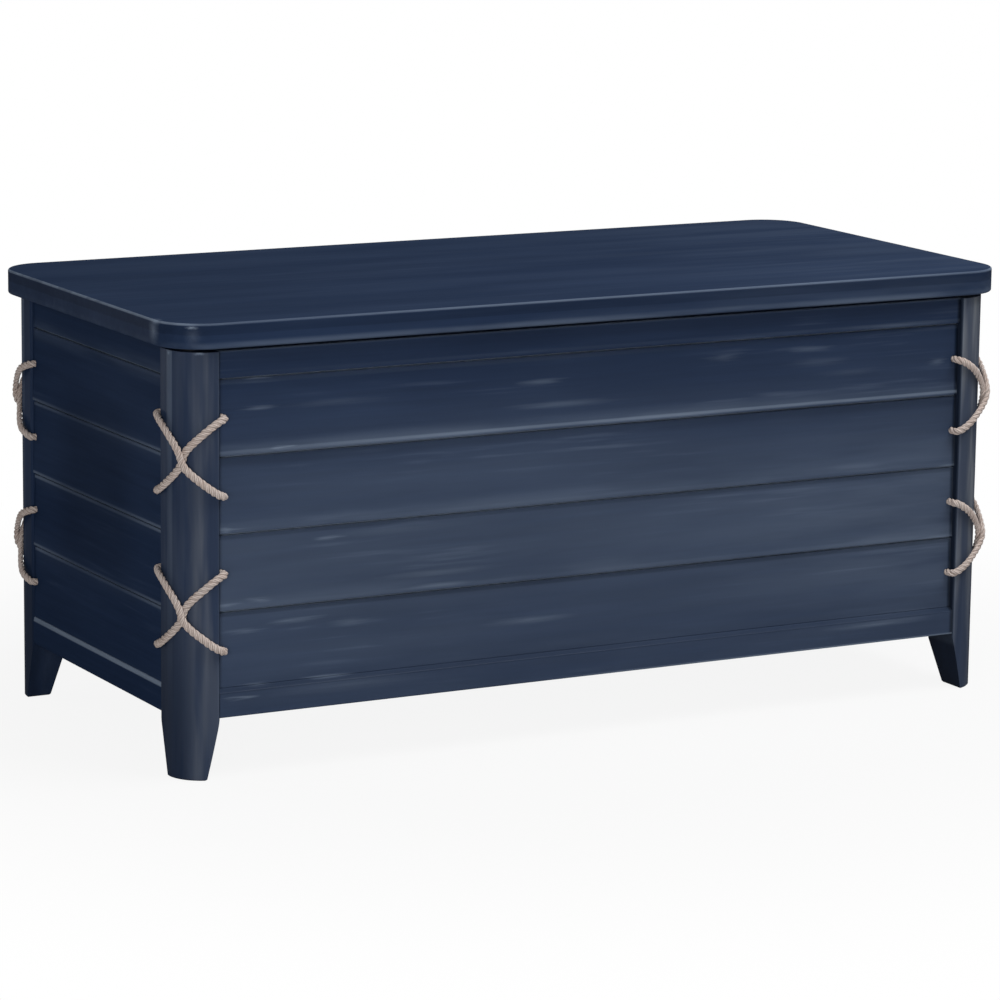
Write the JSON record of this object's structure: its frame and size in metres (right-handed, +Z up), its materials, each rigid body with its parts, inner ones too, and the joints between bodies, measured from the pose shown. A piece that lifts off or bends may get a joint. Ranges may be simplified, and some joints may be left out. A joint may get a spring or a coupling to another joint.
{
  "type": "storage chest",
  "caption": "Long painted wooden storage chest with a flat hinged lid, board walls, rounded corner posts on tapered feet, and crossed rope lacings round the posts.",
  "frame": {"origin": "on the floor, under the middle of the lid's outline", "axes": "+Z up, +X along the chest to the right seen from the front, the front faces -Y, the hinges are at +Y"},
  "size_m": [1.082, 0.508, 0.508],
  "materials": {
    "navy_paint": "satin navy paint over wood, worn lighter along the edges, with faint lengthwise brush streaks",
    "rope": "twisted natural fibre rope, greyish beige",
    "hinge_steel": "plain steel hinge leaves and pins",
    "screw_steel": "plain steel wood screws",
    "pad": "dark soft pads"
  },
  "bodies": {
    "chest_body": {"back_board_1": "navy_paint", "back_board_2": "navy_paint", "back_board_3": "navy_paint", "back_board_4": "navy_paint", "back_bottom_rail": "navy_paint", "back_top_rail": "navy_paint", "floor_cleat_back": "navy_paint", "floor_cleat_front": "navy_paint", "floor_cleat_left": "navy_paint", "floor_cleat_right": "navy_paint", "floor_cleat_screws": "screw_steel", "floor_panel": "navy_paint", "front_board_1": "navy_paint", "front_board_2": "navy_paint", "front_board_3": "navy_paint", "front_board_4": "navy_paint", "front_bottom_rail": "navy_paint", "front_top_rail": "navy_paint", "hinge_body_screws": "screw_steel", "hinge_left_body_leaf": "hinge_steel", "hinge_left_pin": "hinge_steel", "hinge_right_body_leaf": "hinge_steel", "hinge_right_pin": "hinge_steel", "lacing_back_left_lower": "rope", "lacing_back_left_upper": "rope", "lacing_back_right_lower": "rope", "lacing_back_right_upper": "rope", "lacing_front_left_lower": "rope", "lacing_front_left_upper": "rope", "lacing_front_right_lower": "rope", "lacing_front_right_upper": "rope", "left_board_1": "navy_paint", "left_board_2": "navy_paint", "left_board_3": "navy_paint", "left_board_4": "navy_paint", "left_bottom_rail": "navy_paint", "left_top_rail": "navy_paint", "lid_pads": "pad", "post_back_left": "navy_paint", "post_back_right": "navy_paint", "post_front_left": "navy_paint", "post_front_right": "navy_paint", "right_board_1": "navy_paint", "right_board_2": "navy_paint", "right_board_3": "navy_paint", "right_board_4": "navy_paint", "right_bottom_rail": "navy_paint", "right_top_rail": "navy_paint"},
    "lid": {"lid_panel": "navy_paint", "lid_batten_left": "navy_paint", "lid_batten_right": "navy_paint", "lid_batten_screws": "screw_steel", "hinge_lid_screws": "screw_steel", "hinge_left_lid_leaf": "hinge_steel", "hinge_right_lid_leaf": "hinge_steel"}
  },
  "joints": [
    {"name": "lid_hinge", "type": "hinge", "parent": "chest_body", "child": "lid", "pos_m": [0, 0.2384, 0.4751], "axis": [-1, 0, 0], "range_deg": [0, 95]}
  ]
}
